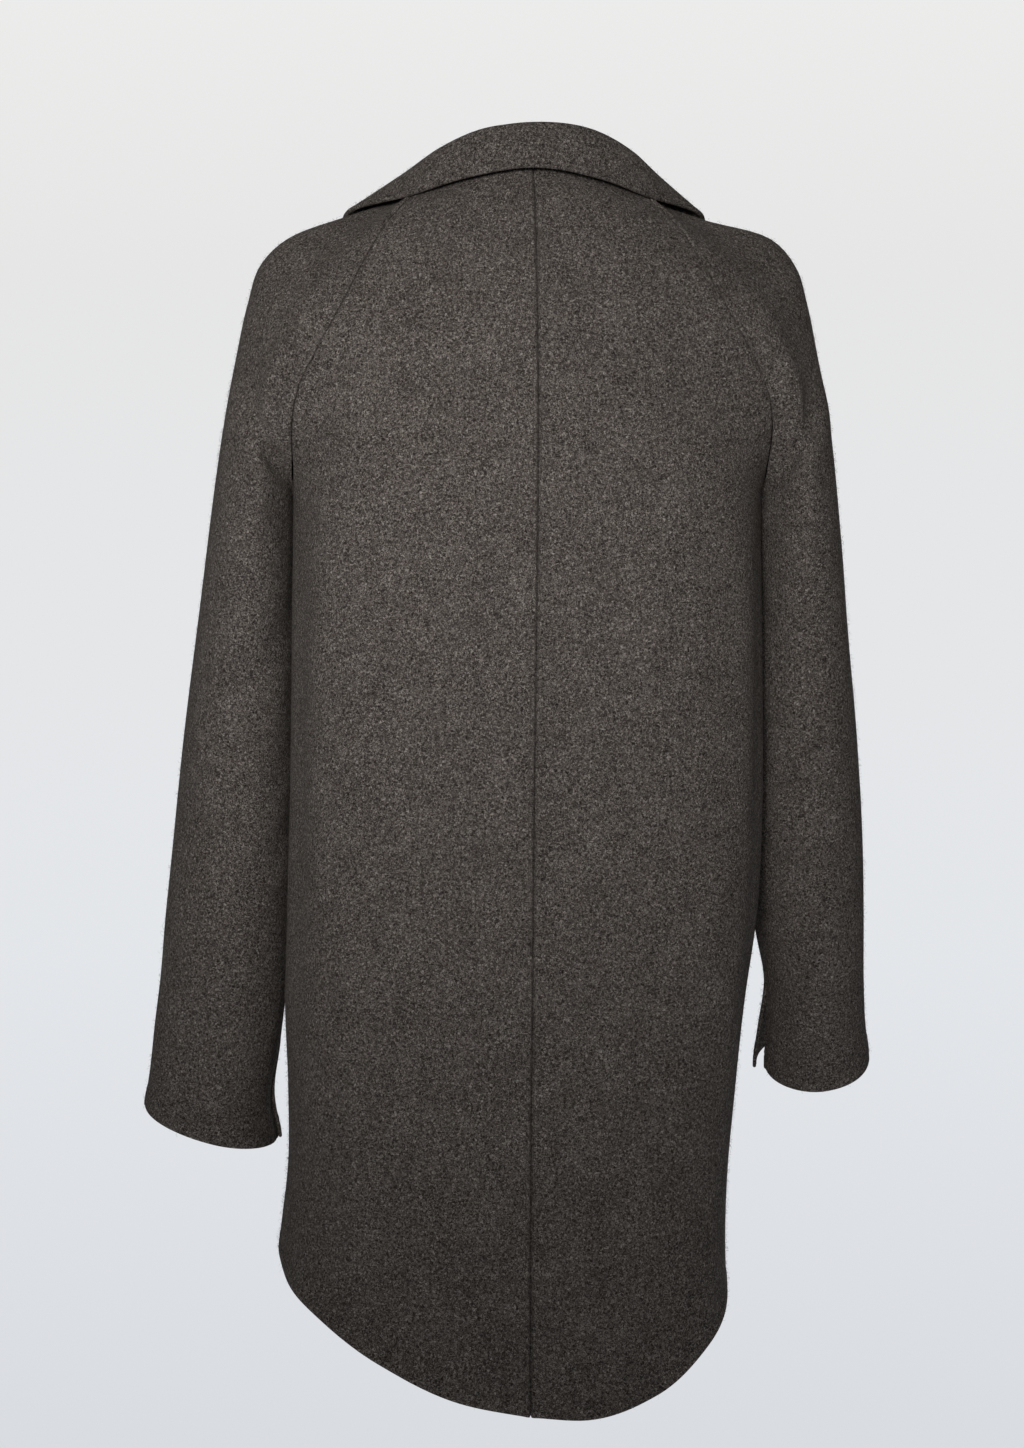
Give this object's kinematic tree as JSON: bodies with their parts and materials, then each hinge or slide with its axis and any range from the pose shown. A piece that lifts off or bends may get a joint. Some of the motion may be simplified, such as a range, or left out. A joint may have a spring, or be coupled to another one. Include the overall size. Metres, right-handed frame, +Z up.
{
  "type": "wool coat",
  "caption": "Hollow wool coat in its worn form, with raglan sleeves, folded collar and lapels, overlapping buttoned fronts, cuff vents and a curved hem.",
  "frame": {"origin": "middle of the neck opening, level with the collar seam at the centre back, where the wearer's neck and shoulders hold the coat", "axes": "+Z up, the coat faces -Y and the wearer's left is +X"},
  "size_m": [0.5941, 0.277, 1.0038],
  "materials": {
    "wool": "felted melange wool, dark brown-grey, soft nap",
    "horn": "dark horn-look buttons, half gloss"
  },
  "bodies": {
    "root": {"back_left": "wool", "back_right": "wool", "front_left": "wool", "front_right": "wool", "sleeve_back_left": "wool", "sleeve_back_right": "wool", "sleeve_front_left": "wool", "sleeve_front_right": "wool", "collar": "wool", "lapel_left": "wool", "lapel_right": "wool", "button_1": "horn", "button_2": "horn", "button_3": "horn"}
  },
  "joints": []
}
